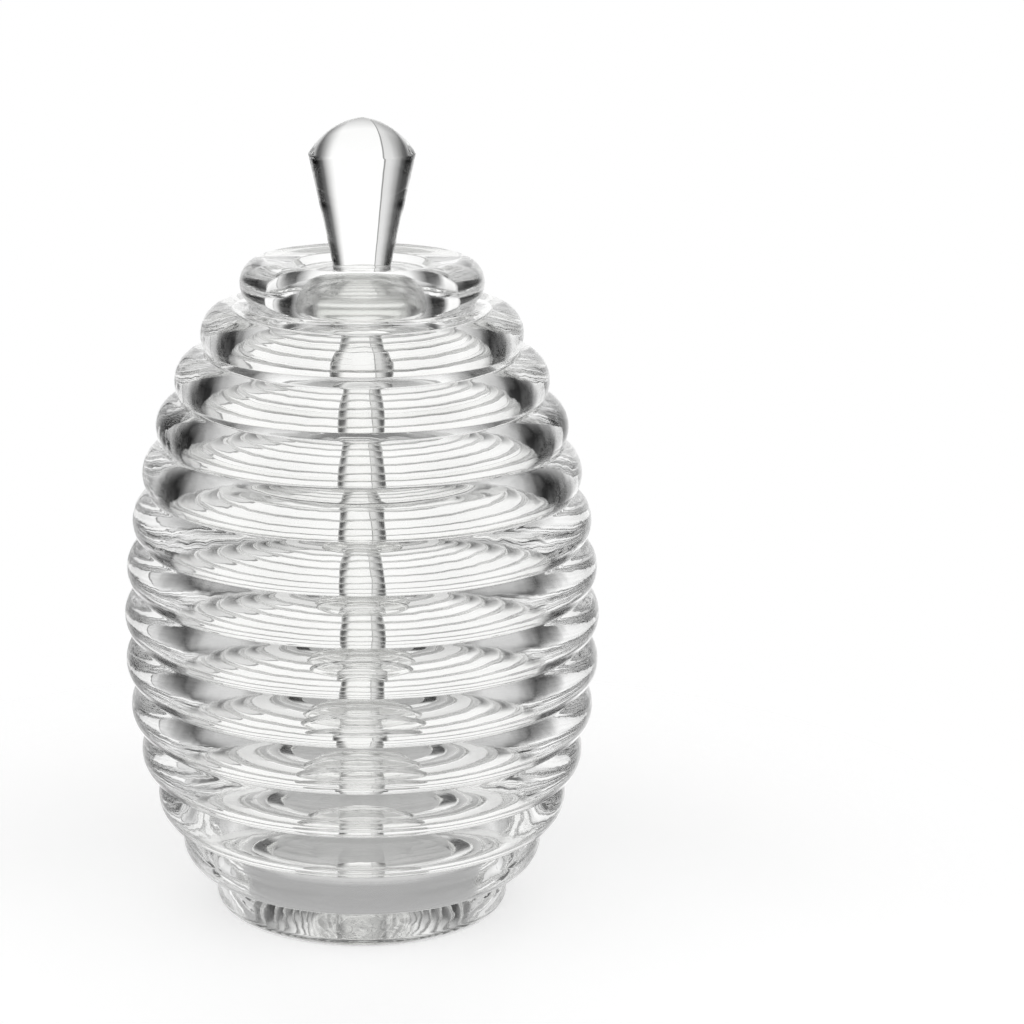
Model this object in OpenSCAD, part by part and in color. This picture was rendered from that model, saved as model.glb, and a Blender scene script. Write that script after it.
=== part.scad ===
// Clear ribbed pot with a lid and a long-handled dipper, assembled and standing on Z = 0.
// All sizes in mm; +Z is the pot's own axis and every piece is turned about it.

/* [Body] */
// radius of the widest rib
body_r = 46; // [40:0.5:55]
// height of the widest rib above the table
wide_z = 55.8; // [48:0.1:64]
// half height of the egg curve above the widest rib
egg_up = 77.1; // [72:0.1:90]
// half height of the egg curve below the widest rib
egg_down = 64.3; // [58:0.1:80]
// power of the egg curve below the widest rib
egg_low_power = 2.2; // [2:0.05:3]
// distance from one pot rib to the next
rib_pitch = 9.2; // [8.6:0.1:9.8]
// height of the lowest rib
first_rib_z = 13; // [11:0.1:15]
// number of ribs on the pot
jar_ribs = 9; // [8:1:9]
// edge radius of the lowest rib
rib_round_low = 5.15; // [5:0.05:6]
// edge radius of the highest pot rib
rib_round_high = 5.85; // [5.2:0.05:6.5]
// how far the foot's side lies inside the lowest rib's crest
foot_in = 6.6; // [5.5:0.1:8]
// rounding of the foot's lower edge
foot_round = 1.8; // [0.5:0.1:3]
// width of the flat ring that the pot stands on
foot_rim = 1.6; // [1:0.1:3]
// depth of the hollow under the foot
hollow_depth = 5; // [3:0.1:6]
// slope of the hollow's side, in degrees from level
hollow_slope = 35; // [30:1:45]
// deepest that a groove between two ribs goes below their crest line
groove_depth = 3.8; // [3.4:0.1:4.2]

/* [Cavity] */
// wall between the egg curve and the mouth, at the rim
rim_wall = 4.45; // [4:0.05:5.5]
// depth of the straight part of the mouth
mouth_depth = 6; // [5.5:0.1:10]
// thickness of the floor above the hollow
floor_thick = 3.2; // [2.5:0.1:6]
// wall between the egg curve and the inside, where the floor's corner ends
low_wall = 7.2; // [6.6:0.1:9]
// radius of the corner between floor and wall
corner_round = 13; // [8:0.1:14]
// height of the flat rim above the highest pot rib
rim_up = 5.3; // [4.8:0.1:5.6]

/* [Lid] */
// number of ribs on the lid
lid_ribs = 3; // [2:1:3]
// distance from one lid rib to the next
lid_pitch = 8.85; // [8.5:0.05:9.3]
// height of the lowest lid rib above the rim
lid_first_up = 3.6; // [3:0.1:4.4]
// edge radius of the lid ribs
lid_round = 5.9; // [5.4:0.1:6.4]
// radius of the top ring
ring_r = 23.2; // [22:0.1:25]
// edge radius of the top ring
ring_round = 4.7; // [4.2:0.1:5]
// height of the top ring's centre above the highest lid rib
ring_step = 9.7; // [9:0.1:10]
// radius of the hole in the lid
hole_r = 12.25; // [12.1:0.05:12.6]
// radius of the hole at its upper edge
hole_edge_r = 13.2; // [12.8:0.1:15]
// how far the hole's upper edge lies below the top of the ring
dish_depth = 1; // [0.5:0.1:1.5]
// height of the bevel between the upper edge and the bore
hole_bevel = 1.2; // [0.6:0.1:1.5]
// thickness of the lid round the hole
top_thick = 8; // [7.6:0.1:9]
// radius of the recess under the ring
recess_r = 16.2; // [15.2:0.1:17]
// wall between a lid rib's crest and the stepped inside
lid_wall = 6.1; // [5:0.1:7]
// height of each inside step above its rib
step_up = 2.8; // [2:0.1:3.2]
// length of the locating lip
lip_len = 5; // [3:0.1:5.4]
// wall of the locating lip
lip_wall = 2.5; // [1.8:0.1:3.5]
// clearance between lip and mouth, on the radius
lip_fit = 0.3; // [0.2:0.05:0.6]

/* [Stopper] */
// radius of the upper flange
small_flange_r = 11.95; // [11.5:0.05:12]
// thickness of the upper flange
small_flange_h = 2.6; // [2:0.1:3]
// how far the upper flange's top lies below the top of the ring
flange_sink = 2.3; // [2:0.1:3]
// play between the lower flange and the lid
flange_play = 0.2; // [0.1:0.1:0.5]
// radius at the bottom of the groove
groove_r = 8.5; // [7.5:0.1:9.5]
// radius of the lower flange
big_flange_r = 14.65; // [13.5:0.05:16]
// thickness of the lower flange
big_flange_h = 3; // [2:0.1:4]
// radius of the boss that holds the rod
boss_r = 5.9; // [5.4:0.1:7]
// length of the boss
boss_len = 11; // [8:0.1:14]
// height of the boss's tapered end
boss_taper = 3; // [1:0.1:4]
// play of the seal in its groove, on each side
seal_play = 0.1; // [0.05:0.05:0.2]
// clearance between seal and lid bore, on the radius
seal_fit = 0.05; // [0.05:0.05:0.1]

/* [Knob] */
// radius at the narrow end
knob_low_r = 5.55; // [5:0.05:6.5]
// radius at the wide end
knob_r = 10.08; // [9:0.02:11.5]
// height of the straight band at the narrow end
knob_band = 1; // [0.5:0.1:2]
// height of the tapered body
knob_cone_h = 20.7; // [16:0.1:24]
// slope of the dome at its edge, in degrees
dome_edge_slope = 60; // [50:1:70]
// slope of the dome at its peak, in degrees
dome_peak_slope = 8; // [5:1:20]

/* [Dipper] */
// radius of the rod
rod_r = 4.5; // [4:0.1:4.6]
// depth of the sockets that hold the rod
socket_depth = 4.6; // [3:0.1:4.8]
// radius of the widest disc of the head
head_r = 13; // [11:0.1:15]
// number of discs
discs = 5; // [4:1:5]
// distance from one disc to the next
disc_pitch = 6.4; // [5:0.1:7]
// thickness of a disc
disc_h = 2.8; // [2:0.1:3.4]
// half length of the head's curve, counted in discs
head_curve = 3.84; // [3:0.02:6]
// radius of the core between the discs
core_r = 4.4; // [3.5:0.1:5.5]
// radius of the tip
nub_r = 4.8; // [3.5:0.1:6]
// length of the tip
nub_len = 4.5; // [3:0.1:6]
// radius of the collar round the rod
collar_r = 5.3; // [5:0.1:6.5]
// length of the collar
collar_len = 5; // [5:0.1:7]
// gap between the tip and the pot's floor
tip_gap = 0.2; // [0.2:0.1:1]

/* [Hidden] */
$fn = 180;
far = 400;
dome_steps = 24;
rim_z = first_rib_z + (jar_ribs - 1) * rib_pitch + rim_up;
lid_low_z = rim_z + lid_first_up;
ring_z = lid_low_z + (lid_ribs - 1) * lid_pitch + ring_step;
ring_top = ring_z + ring_round;
ring_mid_r = ring_r - ring_round;
lid_under = ring_top - top_thick;
flange_top = ring_top - flange_sink;
groove_top = flange_top - small_flange_h;
big_top = lid_under - flange_play;
groove_h = groove_top - big_top;
big_low = big_top - big_flange_h;
boss_low = big_low - boss_len;
cone_z = flange_top + knob_band;
dome_z = cone_z + knob_cone_h;
dome_r = knob_r / (sin(dome_edge_slope) - sin(dome_peak_slope));
floor_z = hollow_depth + floor_thick;
corner_z = floor_z + corner_round;
wall_r = egg_r(corner_z) - low_wall;
floor_r = wall_r - corner_round;
mouth_r = egg_r(rim_z) - rim_wall;
lip_r = mouth_r - lip_fit;
foot_r = egg_r(first_rib_z) - foot_in;
hollow_r = foot_r - foot_round - foot_rim;
hollow_top_r = hollow_r - hollow_depth / tan(hollow_slope);
tip_z = floor_z + tip_gap;
disc_z = tip_z + nub_len + disc_h / 2;
discs_top = disc_z + (discs - 1) * disc_pitch + disc_h / 2;
collar_top = discs_top + collar_len;
water = [0.86, 0.92, 0.92, 0.45];

// crest radius of the egg curve at height z
function egg_r(z) = z > wide_z
    ? body_r * sqrt(1 - pow((z - wide_z) / egg_up, 2))
    : body_r * sqrt(1 - pow((wide_z - z) / egg_down, egg_low_power));
function rib_z(k) = first_rib_z + k * rib_pitch;
function rib_round(k) = rib_round_low + (rib_round_high - rib_round_low) * k / (jar_ribs - 1);
function rib_mid_r(k) = egg_r(rib_z(k)) - rib_round(k);
function groove_z(k) = (rib_z(k) + rib_z(k + 1)) / 2;
function core_mid_r(k) = max(egg_r(groove_z(k)) - groove_depth, (rib_mid_r(k) + rib_mid_r(k + 1)) / 2);
function lid_z(k) = lid_low_z + k * lid_pitch;
function lid_mid_r(k) = egg_r(lid_z(k)) - lid_round;
function dome_point(t) = [dome_r * (sin(t) - sin(dome_peak_slope)),
    dome_z + dome_r * (cos(t) - cos(dome_edge_slope))];
function disc_r(k) = head_r * sqrt(1 - pow((k - (discs - 1) / 2) / head_curve, 2));

// outside of the pot: round ribs on a core, on a plain foot
module jar_outline() {
    for (k = [0 : jar_ribs - 1]) translate([rib_mid_r(k), rib_z(k)]) circle(r = rib_round(k));
    polygon(concat([[0, first_rib_z]],
        [for (k = [0 : jar_ribs - 2], at = [0, 1])
            at == 0 ? [rib_mid_r(k), rib_z(k)] : [core_mid_r(k), groove_z(k)]],
        [[rib_mid_r(jar_ribs - 1), rib_z(jar_ribs - 1)],
        [rib_mid_r(jar_ribs - 1), rim_z + 1], [0, rim_z + 1]]));
    translate([0, foot_round]) square([foot_r, first_rib_z - foot_round]);
    square([foot_r - foot_round, first_rib_z]);
    translate([foot_r - foot_round, foot_round]) circle(r = foot_round);
}

// inside of the pot: straight mouth, drafted wall, round corner, flat floor
module jar_cavity() {
    polygon([[0, floor_z], [floor_r, floor_z], [floor_r, corner_z],
        [wall_r, corner_z], [mouth_r, rim_z - mouth_depth],
        [mouth_r, rim_z + 1], [0, rim_z + 1]]);
    translate([floor_r, corner_z]) circle(r = corner_round);
}

// underside of the pot: a shallow hollow with a sloping side, inside the ring that it stands on
module foot_hollow() {
    polygon([[0, -1], [hollow_r + 1 / tan(hollow_slope), -1], [hollow_top_r, hollow_depth],
        [0, hollow_depth]]);
}

module jar() color(water) rotate_extrude() difference() {
    intersection() {
        jar_outline();
        square([far, rim_z]);
    }
    jar_cavity();
    foot_hollow();
}

// outside of the lid: round ribs and the top ring on a core
module lid_outline() {
    for (k = [0 : lid_ribs - 1]) translate([lid_mid_r(k), lid_z(k)]) circle(r = lid_round);
    translate([ring_mid_r, ring_z]) circle(r = ring_round);
    polygon(concat([[0, rim_z], [lid_mid_r(0), rim_z]],
        [for (k = [0 : lid_ribs - 1]) [lid_mid_r(k), lid_z(k)]],
        [[ring_mid_r, ring_z], [ring_mid_r, ring_top], [0, ring_top]]));
}

// inside of the lid: plain lip, one step behind each rib, a recess, and the stopper's bore
module lid_cavity() {
    translate([0, rim_z - lip_len - 1])
        square([lip_r - lip_wall, lip_len + 1 + lid_first_up + step_up]);
    for (k = [1 : lid_ribs - 1])
        translate([0, lid_z(k - 1)]) square([egg_r(lid_z(k)) - lid_wall, lid_pitch + step_up]);
    translate([0, lid_z(lid_ribs - 1)]) square([recess_r, lid_under - lid_z(lid_ribs - 1)]);
    polygon([[0, lid_under - 1], [hole_r, lid_under - 1],
        [hole_r, ring_top - dish_depth - hole_bevel], [hole_edge_r, ring_top - dish_depth],
        [ring_mid_r, ring_top], [ring_mid_r, ring_top + 1], [0, ring_top + 1]]);
}

module lid() color(water) rotate_extrude() difference() {
    union() {
        intersection() {
            lid_outline();
            translate([0, rim_z]) square([far, far]);
        }
        translate([0, rim_z - lip_len]) square([lip_r, lip_len + 1]);
    }
    lid_cavity();
}

// tapered knob with a slightly pointed dome
module knob() color(water) rotate_extrude() polygon(concat(
    [[0, flange_top], [knob_low_r, flange_top], [knob_low_r, cone_z]],
    [for (i = [dome_steps : -1 : 0])
        dome_point(dome_peak_slope + (dome_edge_slope - dome_peak_slope) * i / dome_steps)]));

// upper flange, seal groove, lower flange, and the boss with the rod's socket
module stopper() color(water) difference() {
    rotate_extrude() polygon([[0, flange_top], [small_flange_r, flange_top],
        [small_flange_r, groove_top], [groove_r, groove_top], [groove_r, big_top],
        [big_flange_r, big_top], [big_flange_r, big_low], [boss_r, big_low],
        [boss_r, boss_low + boss_taper], [(boss_r + rod_r) / 2, boss_low], [0, boss_low]]);
    translate([0, 0, boss_low - 1]) cylinder(r = rod_r, h = socket_depth + 1);
}

// soft ring that sits in the groove and closes the lid's bore
module stopper_seal() color([0.94, 0.94, 0.92, 0.6]) rotate_extrude() {
    half = groove_h / 2 - seal_play;
    translate([groove_r + seal_play, big_top + seal_play])
        square([hole_r - seal_fit - half - groove_r - seal_play, 2 * half]);
    translate([hole_r - seal_fit - half, big_top + groove_h / 2]) circle(r = half);
}

module dipper_rod() color(water)
    translate([0, 0, collar_top - socket_depth])
        cylinder(r = rod_r, h = boss_low - collar_top + 2 * socket_depth);

// tip, round-edged discs on a core, and the collar with the rod's socket
module dipper_head() color(water) difference() {
    rotate_extrude() {
        translate([0, tip_z]) square([nub_r, nub_len + disc_h / 2]);
        translate([0, disc_z]) square([core_r, (discs - 1) * disc_pitch]);
        for (k = [0 : discs - 1]) {
            translate([0, disc_z + k * disc_pitch - disc_h / 2]) square([disc_r(k) - disc_h / 2, disc_h]);
            translate([disc_r(k) - disc_h / 2, disc_z + k * disc_pitch]) circle(r = disc_h / 2);
        }
        translate([0, discs_top - disc_h / 2]) square([collar_r, collar_len + disc_h / 2]);
    }
    translate([0, 0, collar_top - socket_depth]) cylinder(r = rod_r, h = socket_depth + 1);
}

jar();
lid();
knob();
stopper();
stopper_seal();
dipper_rod();
dipper_head();
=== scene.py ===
import math
import bpy
import numpy as np
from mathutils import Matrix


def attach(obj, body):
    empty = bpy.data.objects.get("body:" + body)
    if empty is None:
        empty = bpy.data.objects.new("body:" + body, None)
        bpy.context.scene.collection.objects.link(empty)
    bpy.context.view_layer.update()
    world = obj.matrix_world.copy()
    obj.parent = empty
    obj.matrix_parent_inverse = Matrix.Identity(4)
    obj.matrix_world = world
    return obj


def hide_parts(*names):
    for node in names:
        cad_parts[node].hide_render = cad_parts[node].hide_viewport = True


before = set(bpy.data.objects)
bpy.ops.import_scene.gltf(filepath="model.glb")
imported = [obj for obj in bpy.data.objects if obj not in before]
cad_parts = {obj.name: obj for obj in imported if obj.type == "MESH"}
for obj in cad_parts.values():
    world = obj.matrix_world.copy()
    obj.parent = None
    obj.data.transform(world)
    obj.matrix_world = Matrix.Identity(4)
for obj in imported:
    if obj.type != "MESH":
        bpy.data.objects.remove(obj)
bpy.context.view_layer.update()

# ---- Camera: about half a metre away and a fifth of a metre up, looking down at the pot, which
# stands left of the middle of the picture. A small lens shift gives that.
LENS_MM = 93.87
SENSOR_MM = 36.0
LENS_SHIFT = 0.1465
EYE = (0.0, -0.4996, 0.2029)
LOOK_DOWN_DEG = 14.03
# how often a ray may pass a surface of the clear pieces, and how often it may be mirrored
CLEAR_BOUNCES = 40
MIRROR_BOUNCES = 24

camera_data = bpy.data.cameras.new("camera")
camera_data.lens = LENS_MM
camera_data.sensor_width = SENSOR_MM
camera_data.shift_x = LENS_SHIFT
camera_data.clip_start = 0.01
camera_data.clip_end = 60.0
camera = bpy.data.objects.new("camera", camera_data)
camera.location = EYE
camera.rotation_euler = (math.radians(90.0 - LOOK_DOWN_DEG), 0.0, 0.0)
scene = bpy.context.scene
scene.collection.objects.link(camera)
scene.camera = camera
scene.view_settings.view_transform = "Standard"
scene.cycles.max_bounces = CLEAR_BOUNCES
scene.cycles.transmission_bounces = CLEAR_BOUNCES
scene.cycles.glossy_bounces = MIRROR_BOUNCES
scene.cycles.transparent_max_bounces = MIRROR_BOUNCES


# ---- Outlines: rows of (radius, height) in millimetres. A rib's circle is (radius, height, round).
def arc(mid_r, mid_z, r, start_deg, end_deg, step=3.0):
    """Part of a circle, with its points at most step degrees apart."""
    n = max(2, int(math.ceil(abs(end_deg - start_deg) / step)) + 1)
    a = np.radians(np.linspace(start_deg, end_deg, n))
    return np.stack([mid_r + r * np.cos(a), mid_z + r * np.sin(a)], axis=1)


def crossing(c0, c1):
    """The outer point where two circles meet, or None if they don't."""
    d = np.array([c1[0] - c0[0], c1[1] - c0[1]])
    dist = np.hypot(*d)
    along = (c0[2] ** 2 - c1[2] ** 2 + dist ** 2) / (2 * dist)
    if along >= c0[2]:
        return None
    side = math.sqrt(c0[2] ** 2 - along ** 2)
    mid = np.array(c0[:2]) + d * along / dist
    across = np.array([d[1], -d[0]]) / dist
    return max(mid + side * across, mid - side * across, key=lambda point: point[0])


def leaving(c, p):
    """Where the line from a circle's centre towards a point leaves the circle."""
    d = np.array(p) - np.array(c[:2])
    return np.array(c[:2]) + d / np.hypot(*d) * c[2]


def entering(c, p, q):
    """Where the line from p to q first meets a circle, or q itself if it doesn't."""
    p, d = np.array(p), np.array(q) - np.array(p)
    m = p - np.array(c[:2])
    a, b, k = d @ d, m @ d, m @ m - c[2] ** 2
    return p + d * (-b - math.sqrt(b * b - a * k)) / a if b * b > a * k else np.array(q)


def towards(c, p):
    """The direction from a circle's centre to a point, in degrees."""
    return math.degrees(math.atan2(p[1] - c[1], p[0] - c[0]))


def rib_wall(circles, start, end, groove=None):
    """Round ribs from bottom to top, each an arc that ends where the next one begins. Ribs that
    don't touch are joined by way of the groove's deepest point, or else by one straight line."""
    rows = []
    for i, c in enumerate(circles):
        low, high = start, end
        if i > 0:
            below = circles[i - 1]
            low = crossing(below, c)
            if low is None and groove is None:
                low = leaving(c, below[:2])
            elif low is None:
                low = entering(c, leaving(below, groove), groove)
        if i < len(circles) - 1:
            above = circles[i + 1]
            high = crossing(c, above)
            if high is None:
                high = leaving(c, above[:2] if groove is None else groove)
        rows.append(arc(*c, towards(c, low), towards(c, high)))
    return np.concatenate(rows)


# ---- Softening: an outline is cut into fine steps, blurred along its length so that no corner
# is sharp, and then thinned to the points that a mesh needs. Sizes are in millimetres.
FINE_STEP = 0.02
SAME_POINT = 1e-6
FEWEST_POINTS = 8
MM_PER_METRE = 1000.0


def even_points(p, closed):
    """Points along an outline, FINE_STEP apart, whose own repeated points are left out."""
    moved = np.hypot(*np.diff(p, axis=0).T) > SAME_POINT
    p = p[np.concatenate([[True], moved])]
    if closed:
        p = np.concatenate([p, p[:1]])
    s = np.concatenate([[0], np.cumsum(np.hypot(*np.diff(p, axis=0).T))])
    t = np.linspace(0, s[-1], int(s[-1] / FINE_STEP), endpoint=not closed)
    return np.stack([np.interp(t, s, p[:, 0]), np.interp(t, s, p[:, 1])], axis=1)


def round_corners(q, closed, edge):
    """Blurs the points along the outline, which rounds a corner to a radius of about edge."""
    half = int(4 * edge / FINE_STEP)
    weight = np.exp(-0.5 * (np.arange(-half, half + 1) * FINE_STEP / edge) ** 2)
    weight /= weight.sum()
    if closed:
        padded = np.concatenate([q[-half:], q, q[:half]])
    else:
        # mirrored across the axis, so that the surface meets the axis squarely
        before = q[1:half + 1][::-1] * [-1, 1]
        after = q[-half - 1:-1][::-1] * [-1, 1]
        padded = np.concatenate([before, q, after])
    return np.stack([np.convolve(padded[:, i], weight, "valid") for i in (0, 1)], axis=1)


def thin_out(q, closed, turn, longest):
    """Keeps a point for every turn degrees of bend and for every longest of length."""
    d = np.diff(np.concatenate([q, q[:1]]) if closed else q, axis=0)
    heading = np.unwrap(np.arctan2(d[:, 1], d[:, 0]))
    bend = np.abs(np.diff(heading, prepend=heading[:1]))
    length = np.hypot(d[:, 0], d[:, 1])
    if not closed:
        bend = np.append(bend, 0.0)
        length = np.append(length, 0.0)
    need = np.cumsum(bend / math.radians(turn) + length / longest)
    count = max(FEWEST_POINTS, int(math.ceil(need[-1])))
    want = np.linspace(need[0], need[-1], count, endpoint=not closed)
    kept = np.unique(np.searchsorted(need, want).clip(0, len(q) - 1))
    if not closed:
        kept[0], kept[-1] = 0, len(q) - 1
    return q[kept]


def quads_round(around, count, j, j2):
    """Quads between neighbouring meridians of count points each, from points j to points j2."""
    i = np.arange(around)[:, None]
    i2 = (i + 1) % around
    corners = [i * count + j, i2 * count + j, i2 * count + j2, i * count + j2]
    return np.stack(corners, axis=2).reshape(-1, 4)


def lathe(name, outline, closed, around=144, edge=0.12, turn=4.0, longest=1.4):
    """Turns an outline into one closed mesh; the outline runs with the solid on its left. A closed
    one is the section of a ring, and any other starts and ends on the axis."""
    q = even_points(np.asarray(outline, float), closed)
    q = thin_out(round_corners(q, closed, edge), closed, turn, longest)
    if not closed:
        q[[0, -1], 0] = 0.0
    q = q / MM_PER_METRE
    angle = np.arange(around)[:, None] / around * 2 * math.pi
    x, y = np.cos(angle) * q[:, 0], np.sin(angle) * q[:, 0]
    meridians = np.stack([x, y, np.broadcast_to(q[:, 1], x.shape)], axis=2)
    if closed:
        count = len(q)
        j = np.arange(count)
        verts = meridians.reshape(-1, 3)
        faces = quads_round(around, count, j, (j + 1) % count).tolist()
    else:
        # the two end points are shared by all meridians and closed with fans of triangles
        count = len(q) - 2
        j = np.arange(count - 1)
        verts = np.concatenate([meridians[:, 1:-1].reshape(-1, 3), [[0, 0, q[0, 1]], [0, 0, q[-1, 1]]]])
        faces = quads_round(around, count, j, j + 1).tolist()
        first, last = around * count, around * count + 1
        i = np.arange(around)
        i2 = (i + 1) % around
        faces += np.stack([np.full(around, first), i2 * count, i * count], axis=1).tolist()
        faces += np.stack([np.full(around, last), (i + 1) * count - 1, (i2 + 1) * count - 1], axis=1).tolist()
    mesh = bpy.data.meshes.new(name)
    mesh.from_pydata(verts.tolist(), [], faces)
    mesh.validate()
    mesh.shade_smooth()
    piece = bpy.data.objects.new(name, mesh)
    scene.collection.objects.link(piece)
    return piece


# ---- Tools for node trees: each adds a node to a tree and gives back the node or its result.
def node_in(tree, kind, **props):
    node = tree.nodes.new(kind)
    for key, value in props.items():
        setattr(node, key, value)
    return node


def math_in(tree, op, *terms):
    node = node_in(tree, "ShaderNodeMath", operation=op)
    for i, term in enumerate(terms):
        if isinstance(term, (int, float)):
            node.inputs[i].default_value = term
        else:
            tree.links.new(term, node.inputs[i])
    return node.outputs[0]


def noise_in(tree, where, scale, detail):
    node = node_in(tree, "ShaderNodeTexNoise")
    node.inputs["Scale"].default_value = scale
    node.inputs["Detail"].default_value = detail
    tree.links.new(where, node.inputs["Vector"])
    return node.outputs["Fac"]


def range_in(tree, value, start, end, low=0.0, high=1.0, how="SMOOTHSTEP"):
    """Goes from low to high while the value goes from start to end."""
    node = node_in(tree, "ShaderNodeMapRange", interpolation_type=how)
    for label, number in (("From Min", start), ("From Max", end), ("To Min", low), ("To Max", high)):
        node.inputs[label].default_value = number
    tree.links.new(value, node.inputs["Value"])
    return node.outputs["Result"]


def mix_in(tree, share, none, full):
    """A surface that is none where share is 0 and full where it is 1."""
    node = node_in(tree, "ShaderNodeMixShader")
    for i, link in enumerate((share, none, full)):
        tree.links.new(link, node.inputs[i])
    return node.outputs[0]


# ---- Plastics: one shared group gives moulding waves, fine ripples, and patches of light wear.
# Scales are in waves or marks per metre.
WAVE_SCALE = 62.0
RIPPLE_SCALE = 240.0
RIPPLE_SHARE = 0.18
PATCH_SCALE = 34.0
PATCH_EDGE = (0.56, 0.74)
MARK_SCALE = 420.0
MARK_SQUASH = (1.0, 1.0, 9.0)
MARK_EDGE = (0.5, 0.72)


def moulded_surface():
    group = bpy.data.node_groups.new("moulded_surface", "ShaderNodeTree")
    for label in ("Wave Height", "Polish", "Wear"):
        group.interface.new_socket(label, in_out="INPUT", socket_type="NodeSocketFloat")
    group.interface.new_socket("Normal", in_out="OUTPUT", socket_type="NodeSocketVector")
    group.interface.new_socket("Roughness", in_out="OUTPUT", socket_type="NodeSocketFloat")
    given = node_in(group, "NodeGroupInput")
    result = node_in(group, "NodeGroupOutput")
    place = node_in(group, "ShaderNodeTexCoord").outputs["Object"]
    waves = math_in(group, "MULTIPLY_ADD", noise_in(group, place, RIPPLE_SCALE, 1.0), RIPPLE_SHARE,
                    noise_in(group, place, WAVE_SCALE, 0.0))
    bump = node_in(group, "ShaderNodeBump")
    bump.inputs["Strength"].default_value = 1.0
    group.links.new(given.outputs["Wave Height"], bump.inputs["Distance"])
    group.links.new(waves, bump.inputs["Height"])
    group.links.new(bump.outputs["Normal"], result.inputs["Normal"])
    # handled patches, a few centimetres across, each full of hairline marks that run level
    patch = range_in(group, noise_in(group, place, PATCH_SCALE, 2.0), *PATCH_EDGE)
    squash = node_in(group, "ShaderNodeMapping")
    squash.inputs["Scale"].default_value = MARK_SQUASH
    group.links.new(place, squash.inputs["Vector"])
    hair = range_in(group, noise_in(group, squash.outputs["Vector"], MARK_SCALE, 3.0), *MARK_EDGE)
    marks = math_in(group, "MULTIPLY", patch, hair)
    rough = math_in(group, "MULTIPLY_ADD", marks, given.outputs["Wear"], given.outputs["Polish"])
    group.links.new(rough, result.inputs["Roughness"])
    return group


surface = moulded_surface()


def clear_material(name, tint, ior, wave, polish, wear):
    """See-through plastic: wave is the height of its moulding waves in metres, polish its
    roughness where it is clean, and wear what a worn mark adds to that."""
    mat = bpy.data.materials.new(name)
    mat.use_nodes = True
    tree = mat.node_tree
    bsdf = tree.nodes["Principled BSDF"]
    bsdf.inputs["Base Color"].default_value = (*tint, 1.0)
    bsdf.inputs["IOR"].default_value = ior
    bsdf.inputs["Transmission Weight"].default_value = 1.0
    node = node_in(tree, "ShaderNodeGroup", node_tree=surface)
    for label, value in (("Wave Height", wave), ("Polish", polish), ("Wear", wear)):
        node.inputs[label].default_value = value
    tree.links.new(node.outputs["Normal"], bsdf.inputs["Normal"])
    tree.links.new(node.outputs["Roughness"], bsdf.inputs["Roughness"])
    return mat


clear = clear_material("clear_plastic", tint=(0.995, 0.996, 0.990), ior=1.49,
                       wave=0.00025, polish=0.0, wear=0.06)
silicone = clear_material("clear_seal", tint=(0.96, 0.965, 0.955), ior=1.41,
                          wave=0.00002, polish=0.14, wear=0.12)


def dress(piece, node, body, mat):
    """Gives a piece its material and the body it moves with, and hides the solid that it stands for."""
    piece.data.materials.append(mat)
    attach(piece, body)
    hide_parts(node)


# ---- Sizes in millimetres, with the names that they have in the solids.
# the egg curve that the ribs touch
body_r = 46.0  # radius of the widest rib
wide_z = 55.8  # height of the widest rib above the table
egg_up = 77.1  # half height of the curve above the widest rib
egg_down = 64.3  # half height of the curve below the widest rib
egg_low_power = 2.2  # power of the curve below the widest rib
# pot
first_rib_z = 13.0  # height of the lowest rib
jar_ribs = 9
rib_pitch = 9.2
rib_round_low = 5.15  # edge radius of the lowest rib
rib_round_high = 5.85  # edge radius of the highest rib
groove_depth = 3.8  # deepest that a groove goes below the curve
foot_in = 6.6  # how far the foot's side lies inside the lowest rib's crest
foot_round = 1.8  # rounding of the foot's lower edge
foot_rim = 1.6  # width of the flat ring that the pot stands on
hollow_depth = 5.0  # depth of the hollow under the foot
hollow_slope = 35.0  # slope of its side, in degrees from level
rim_up = 5.3  # height of the rim above the highest rib
rim_wall = 4.45  # wall between the curve and the mouth, at the rim
mouth_depth = 6.0  # depth of the straight part of the mouth
low_wall = 7.2  # wall between the curve and the inside, where the floor's corner ends
corner_round = 13.0  # radius of the corner between floor and wall
floor_thick = 3.2  # thickness of the floor above the hollow
# lid
lid_first_up = 3.6  # height of the lowest lid rib above the rim
lid_ribs = 3
lid_pitch = 8.85
lid_round = 5.9  # edge radius of the lid ribs
ring_r = 23.2  # radius of the top ring
ring_round = 4.7  # its edge radius
ring_step = 9.7  # height of its centre above the highest lid rib
hole_r = 12.25
hole_edge_r = 13.2  # radius of the hole at its upper edge
dish_depth = 1.0  # how far that edge lies below the top of the ring
hole_bevel = 1.2  # height of the bevel between that edge and the bore
top_thick = 8.0  # thickness of the lid round the hole
recess_r = 16.2  # radius of the recess under the ring
lid_wall = 6.1  # wall between a lid rib's crest and the stepped inside
step_up = 2.8  # height of each inside step above its rib
lip_len = 5.0  # length of the locating lip
lip_wall = 2.5  # wall of the locating lip
lip_fit = 0.3  # clearance between lip and mouth, on the radius
# stopper and seal
small_flange_r = 11.95  # upper flange
small_flange_h = 2.6
flange_sink = 2.3  # how far its top lies below the top of the ring
big_flange_r = 14.65  # lower flange
big_flange_h = 3.0
flange_play = 0.2  # play between the lower flange and the lid
groove_r = 8.5  # radius at the bottom of the seal's groove
boss_r = 5.9  # boss that holds the rod
boss_len = 11.0
boss_taper = 3.0  # height of its tapered end
seal_play = 0.1  # play of the seal in its groove, on each side
seal_fit = 0.05  # clearance between seal and lid bore, on the radius
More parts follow.
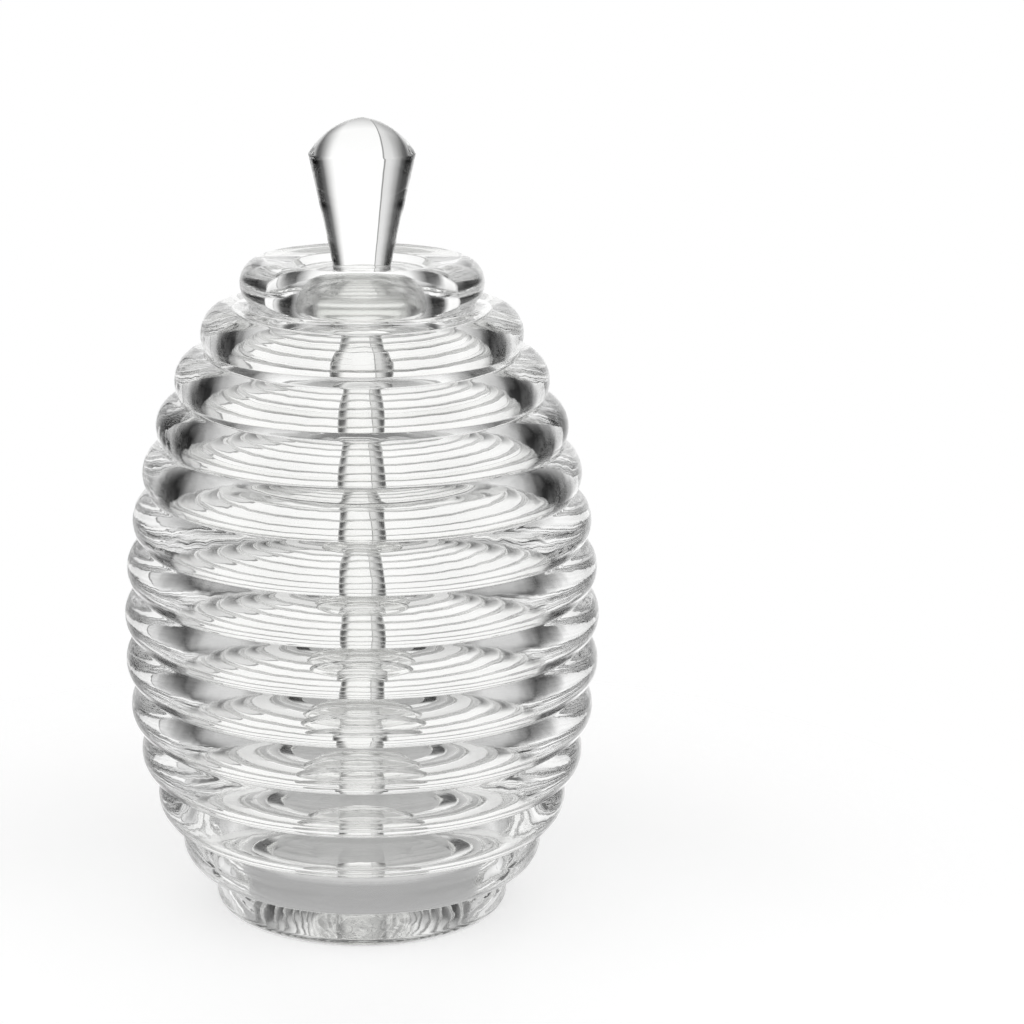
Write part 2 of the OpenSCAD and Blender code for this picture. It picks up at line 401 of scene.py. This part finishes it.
# knob
knob_low_r = 5.55  # radius at the narrow end
knob_r = 10.08  # radius at the wide end
knob_band = 1.0  # height of the straight band at the narrow end
knob_cone_h = 20.7  # height of the tapered body
dome_edge_slope = 60.0  # slope of the dome at its edge, in degrees
dome_peak_slope = 8.0  # slope of the dome at its peak, in degrees
dome_steps = 26
# rod and head
rod_r = 4.5
head_r = 13.0  # radius of the widest disc
discs = 5
disc_pitch = 6.4
disc_h = 2.8  # thickness of a disc
head_curve = 3.84  # half length of the head's curve, counted in discs
core_r = 4.4  # radius of the core between the discs
nub_r = 4.8  # tip
nub_len = 4.5
collar_r = 5.3  # collar round the rod
collar_len = 5.0
tip_gap = 0.2  # gap between the tip and the pot's floor
# two sizes of this script's own, which keep neighbours from sharing a face
bond = 0.03  # overlap of pieces that are bonded to each other
rest_gap = 0.02  # height of the lid above the rim that it rests on

rim_z = first_rib_z + (jar_ribs - 1) * rib_pitch + rim_up
lid_low_z = rim_z + lid_first_up
ring_z = lid_low_z + (lid_ribs - 1) * lid_pitch + ring_step
ring_top = ring_z + ring_round
ring_mid_r = ring_r - ring_round
lid_under = ring_top - top_thick
flange_top = ring_top - flange_sink
groove_top = flange_top - small_flange_h
big_top = lid_under - flange_play
big_low = big_top - big_flange_h
boss_low = big_low - boss_len
cone_z = flange_top + knob_band
dome_z = cone_z + knob_cone_h
floor_z = hollow_depth + floor_thick
corner_z = floor_z + corner_round
tip_z = floor_z + tip_gap
disc_z = tip_z + nub_len + disc_h / 2
discs_top = disc_z + (discs - 1) * disc_pitch + disc_h / 2
collar_top = discs_top + collar_len


def egg_r(z):
    """Radius of the egg curve at a height."""
    if z > wide_z:
        return body_r * math.sqrt(1 - ((z - wide_z) / egg_up) ** 2)
    return body_r * math.sqrt(1 - ((wide_z - z) / egg_down) ** egg_low_power)


def side_at(circle, z):
    """Radius of a rib's side at a height."""
    return circle[0] + math.sqrt(circle[2] ** 2 - (z - circle[1]) ** 2)


mouth_r = egg_r(rim_z) - rim_wall
lip_r = mouth_r - lip_fit


# ---- Pot: thick clear pot, round ribs over a plain foot with a shallow hollow under it, and one
# smooth drafted cavity.
def jar_outline():
    circles = []
    for k in range(jar_ribs):
        z = first_rib_z + k * rib_pitch
        rib_round = rib_round_low + (rib_round_high - rib_round_low) * k / (jar_ribs - 1)
        circles.append((egg_r(z) - rib_round, z, rib_round))
    mid_r, z, rib_round = circles[0]
    foot_r = egg_r(first_rib_z) - foot_in
    foot_meet = (foot_r, z - math.sqrt(rib_round ** 2 - (foot_r - mid_r) ** 2))
    rim_meet = (side_at(circles[-1], rim_z), rim_z)
    groove_z = first_rib_z + rib_pitch / 2
    hollow_r = foot_r - foot_round - foot_rim
    hollow_top_r = hollow_r - hollow_depth / math.tan(math.radians(hollow_slope))
    floor_r = egg_r(corner_z) - low_wall - corner_round
    return np.concatenate([
        [(0, hollow_depth), (hollow_top_r, hollow_depth), (hollow_r, 0)],
        arc(foot_r - foot_round, foot_round, foot_round, -90, 0),
        [foot_meet],
        rib_wall(circles, foot_meet, rim_meet, groove=(egg_r(groove_z) - groove_depth, groove_z)),
        [(mouth_r, rim_z), (mouth_r, rim_z - mouth_depth)],
        arc(floor_r, corner_z, corner_round, 0, -90),
        [(0, floor_z)]])


dress(lathe("pot", jar_outline(), closed=False), "jar", "pot", clear)


# ---- Lid: three ribs and a top ring, a lip that drops into the mouth, a stepped inside.
def lid_outline():
    circles = []
    for k in range(lid_ribs):
        z = lid_low_z + k * lid_pitch
        circles.append((egg_r(z) - lid_round, z, lid_round))
    rim_side = (side_at(circles[0], rim_z), rim_z + rest_gap)
    circles.append((ring_mid_r, ring_z, ring_round))
    # one step behind each rib, from the recess under the ring down to the lip
    inside = [(recess_r, lid_under)]
    for k in reversed(range(lid_ribs)):
        z = lid_low_z + k * lid_pitch
        inside.append((inside[-1][0], z + step_up))
        inside.append((egg_r(z) - lid_wall if k > 0 else lip_r - lip_wall, z + step_up))
    return np.concatenate([
        [(lip_r - lip_wall, rim_z - lip_len), (lip_r, rim_z - lip_len), (lip_r, rim_z + rest_gap)],
        rib_wall(circles, rim_side, (ring_mid_r, ring_top)),
        [(hole_edge_r, ring_top - dish_depth), (hole_r, ring_top - dish_depth - hole_bevel),
         (hole_r, lid_under)],
        inside])


dress(lathe("hive_lid", lid_outline(), closed=True), "lid", "lid", clear)


# ---- Knob: straight taper from a narrow band up to a slightly pointed dome.
def knob_outline():
    edge, peak = math.radians(dome_edge_slope), math.radians(dome_peak_slope)
    dome_r = knob_r / (math.sin(edge) - math.sin(peak))
    t = np.linspace(edge, peak, dome_steps + 1)
    dome = np.stack([dome_r * (np.sin(t) - math.sin(peak)),
                     dome_z + dome_r * (np.cos(t) - math.cos(edge))], axis=1)
    foot = flange_top - bond
    return np.concatenate([[(0, foot), (knob_low_r, foot), (knob_low_r, cone_z)], dome])


dress(lathe("dipper_knob", knob_outline(), closed=False, turn=3.0, longest=0.8),
      "knob", "dipper", clear)


# ---- Stopper: upper flange, groove, lower flange, and the boss that the rod is bonded into.
def stopper_outline():
    return [(0, boss_low), ((boss_r + rod_r) / 2, boss_low), (boss_r, boss_low + boss_taper),
            (boss_r, big_low), (big_flange_r, big_low), (big_flange_r, big_top),
            (groove_r, big_top), (groove_r, groove_top), (small_flange_r, groove_top),
            (small_flange_r, flange_top), (0, flange_top)]


dress(lathe("dipper_stopper", stopper_outline(), closed=False), "stopper", "dipper", clear)


# ---- Seal: soft clear ring in the stopper's groove, with a round outer side.
def seal_outline():
    half = (groove_top - big_top) / 2 - seal_play
    mid_r, mid_z = hole_r - seal_fit - half, (groove_top + big_top) / 2
    inner_r = groove_r + seal_play
    return np.concatenate([[(inner_r, mid_z - half), (mid_r, mid_z - half)],
                           arc(mid_r, mid_z, half, -90, 90), [(inner_r, mid_z + half)]])


dress(lathe("seal", seal_outline(), closed=True, turn=6.0), "stopper_seal", "seal", silicone)


# ---- Rod: plain polished rod from the head's collar up to the stopper's boss. Its ends inside
# those two aren't drawn, because the bonded plastic looks like one.
def rod_outline():
    low, top = collar_top - bond, boss_low + bond
    return [(0, low), (rod_r, low), (rod_r, top), (0, top)]


dress(lathe("rod", rod_outline(), closed=False, around=96, edge=0.05, turn=6.0, longest=2.0),
      "dipper_rod", "dipper", clear)


# ---- Head: tip, five round-edged discs on a core, and a collar that the rod is bonded into.
def head_outline():
    rows = [[(0, tip_z), (nub_r, tip_z)]]
    half = disc_h / 2
    for k in range(discs):
        z = disc_z + k * disc_pitch
        disc_r = head_r * math.sqrt(1 - ((k - (discs - 1) / 2) / head_curve) ** 2)
        rows.append([(nub_r if k == 0 else core_r, z - half)])
        rows.append(arc(disc_r - half, z, half, -90, 90, step=10))
        rows.append([(core_r if k < discs - 1 else collar_r, z + half)])
    rows.append([(collar_r, collar_top), (0, collar_top)])
    return np.concatenate(rows)


dress(lathe("head", head_outline(), closed=False, around=128, turn=6.0),
      "dipper_head", "dipper", clear)

# ---- Stage: a small white table top, in metres. It fades out between two distances from the
# pot's axis, nearer the pot where it is seen through the clear pieces.
FLOOR_R = 0.19
FLOOR_DROP = 0.0001
FLOOR_GREY = 0.9
FLOOR_ROUGHNESS = 0.9
FLOOR_GLOW = 0.52
FLOOR_FADE = (0.08, 0.185)
GLASS_FADE = (0.04, 0.07)
# painted shadow and painted light: the glow that the table shows through the clear pieces, darker under the
# foot and brighter beside it, and the distances across which one passes into the other
PAINTED_SHADOW_EDGE = (0.026, 0.032)
PAINTED_SHADOW_UNDER_FOOT = 0.4
PAINTED_LIGHT_BESIDE_FOOT = 0.78


def floor_material():
    mat = bpy.data.materials.new("floor")
    mat.use_nodes = True
    tree = mat.node_tree
    away = node_in(tree, "ShaderNodeVectorMath", operation="LENGTH")
    tree.links.new(node_in(tree, "ShaderNodeTexCoord").outputs["Object"], away.inputs[0])
    away = away.outputs["Value"]
    ray = node_in(tree, "ShaderNodeLightPath").outputs
    # to the camera the table is white and fades out towards its edge
    paper = tree.nodes["Principled BSDF"]
    paper.inputs["Base Color"].default_value = (FLOOR_GREY, FLOOR_GREY, FLOOR_GREY, 1.0)
    paper.inputs["Roughness"].default_value = FLOOR_ROUGHNESS
    paper.inputs["Emission Color"].default_value = (1.0, 1.0, 1.0, 1.0)
    tree.links.new(math_in(tree, "MULTIPLY", ray["Is Camera Ray"], FLOOR_GLOW),
                   paper.inputs["Emission Strength"])
    tree.links.new(range_in(tree, away, *FLOOR_FADE, 1.0, 0.0), paper.inputs["Alpha"])
    # seen through the clear pieces it is a glow with painted light and shade: a painted shadow, grey under
    # the foot, and painted light, bright beside it; it soon ends
    painted_floor_glow = node_in(tree, "ShaderNodeEmission")
    tree.links.new(range_in(tree, away, *PAINTED_SHADOW_EDGE, PAINTED_SHADOW_UNDER_FOOT, PAINTED_LIGHT_BESIDE_FOOT, "LINEAR"),
                   painted_floor_glow.inputs["Strength"])
    nothing = node_in(tree, "ShaderNodeBsdfTransparent")
    through = mix_in(tree, range_in(tree, away, *GLASS_FADE, 1.0, 0.0), nothing.outputs[0],
                     painted_floor_glow.outputs[0])
    by_glass = math_in(tree, "MAXIMUM", ray["Is Transmission Ray"], ray["Is Glossy Ray"])
    tree.links.new(mix_in(tree, by_glass, paper.outputs[0], through),
                   tree.nodes["Material Output"].inputs["Surface"])
    return mat


bpy.ops.mesh.primitive_circle_add(vertices=96, radius=FLOOR_R, fill_type="NGON",
                                  location=(0, 0, -FLOOR_DROP))
floor = bpy.context.object
floor.name = "floor"
floor.data.materials.append(floor_material())

# ---- Studio: the brightness of what surrounds the pot, by the angle above the table top in
# degrees. Between two of these heights it passes evenly from one to the other. A row of pairs
# goes round from the back wall (0 degrees) to the camera's side (180): white wall, dark gap, pale
# side wall, then a dim room at the camera's height and below it, and a bright one above.
STUDIO = {
    -70: 0.05,
    -35: [(0, 1.05), (22, 1.05), (38, 0.5), (52, 0.08), (68, 0.6), (90, 0.85), (120, 0), (140, 0),
          (158, 0.45), (180, 0.5)],
    -10: [(0, 1.05), (26, 1.05), (36, 0.3), (44, 0), (60, 0), (72, 0.35), (90, 0.8), (120, 0),
          (140, 0), (158, 0.5), (180, 0.55)],
    15: [(0, 1.05), (22, 1.1), (37, 0.04), (45, 0), (63, 0), (90, 0.85), (125, 0.5), (180, 0.75)],
    40: [(0, 0.6), (22, 0.7), (34, 0.8), (46, 0.3), (62, 0.15), (90, 1), (125, 1.4), (180, 1.4)],
    70: 0.1}
# the back wall ends on the left with a thin dark joint and a greyer panel beyond it: the share of
# the light that they leave, by the angle to the left. Both fade out below the panel's top.
PANEL = [(0, 1), (16, 1), (16.5, 0.3), (17.4, 0.3), (18, 0.74), (30, 0.7), (45, 1), (60, 1)]
PANEL_TOP = 40.0
PANEL_FADE = 8.0
BACKGROUND = 1.0


def studio_world():
    world = bpy.data.worlds.new("studio")
    world.use_nodes = True
    tree = world.node_tree
    tree.nodes.clear()

    def calc(op, *terms):
        return math_in(tree, op, *terms)

    def limited(value):
        return calc("MINIMUM", calc("MAXIMUM", value, 0.0), 1.0)

    def ramp(value, stops):
        """Brightness along a row of (angle, brightness) pairs."""
        top = float(stops[-1][0])
        node = node_in(tree, "ShaderNodeValToRGB")
        tree.links.new(calc("DIVIDE", value, top), node.inputs[0])
        for angle, _ in stops[1:-1]:
            node.color_ramp.elements.new(angle / top)
        for element, (angle, light) in zip(node.color_ramp.elements, stops):
            element.position = angle / top
            element.color = (light, light, light, 1.0)
        return node.outputs["Color"]

    coord = node_in(tree, "ShaderNodeTexCoord")
    split = node_in(tree, "ShaderNodeSeparateXYZ")
    tree.links.new(coord.outputs["Generated"], split.inputs[0])
    # angle to the right of the wall behind the pot, and angle above the table top
    right = calc("MULTIPLY", calc("ARCTAN2", split.outputs[0], split.outputs[1]), 180 / math.pi)
    rise = calc("MULTIPLY", calc("ARCSINE", split.outputs[2]), 180 / math.pi)
    left = calc("MAXIMUM", calc("MULTIPLY", right, -1.0), 0.0)
    round_back = calc("ABSOLUTE", right)

    heights = sorted(STUDIO)
    room = 0.0
    for k, height in enumerate(heights):
        shares = []
        if k > 0:
            below = heights[k - 1]
            shares.append(calc("DIVIDE", calc("SUBTRACT", rise, below), height - below))
        if k < len(heights) - 1:
            above = heights[k + 1]
            shares.append(calc("DIVIDE", calc("SUBTRACT", above, rise), above - height))
        share = calc("MINIMUM", *shares) if len(shares) == 2 else shares[0]
        light = STUDIO[height]
        if isinstance(light, list):
            light = ramp(round_back, light)
        room = calc("ADD", room, calc("MULTIPLY", limited(share), light))
    low = limited(calc("DIVIDE", calc("SUBTRACT", PANEL_TOP, rise), PANEL_FADE))
    lost = calc("MULTIPLY", low, calc("SUBTRACT", 1.0, ramp(left, PANEL)))
    room = calc("MULTIPLY", room, calc("SUBTRACT", 1.0, lost))

    # the camera itself sees a plain white background
    seen = node_in(tree, "ShaderNodeMix", data_type="FLOAT")
    tree.links.new(node_in(tree, "ShaderNodeLightPath").outputs["Is Camera Ray"], seen.inputs[0])
    tree.links.new(room, seen.inputs[2])
    seen.inputs[3].default_value = BACKGROUND
    light = node_in(tree, "ShaderNodeBackground")
    light.inputs["Color"].default_value = (1.0, 1.0, 1.0, 1.0)
    tree.links.new(seen.outputs[0], light.inputs["Strength"])
    tree.links.new(light.outputs[0], node_in(tree, "ShaderNodeOutputWorld").inputs["Surface"])
    return world


scene.world = studio_world()
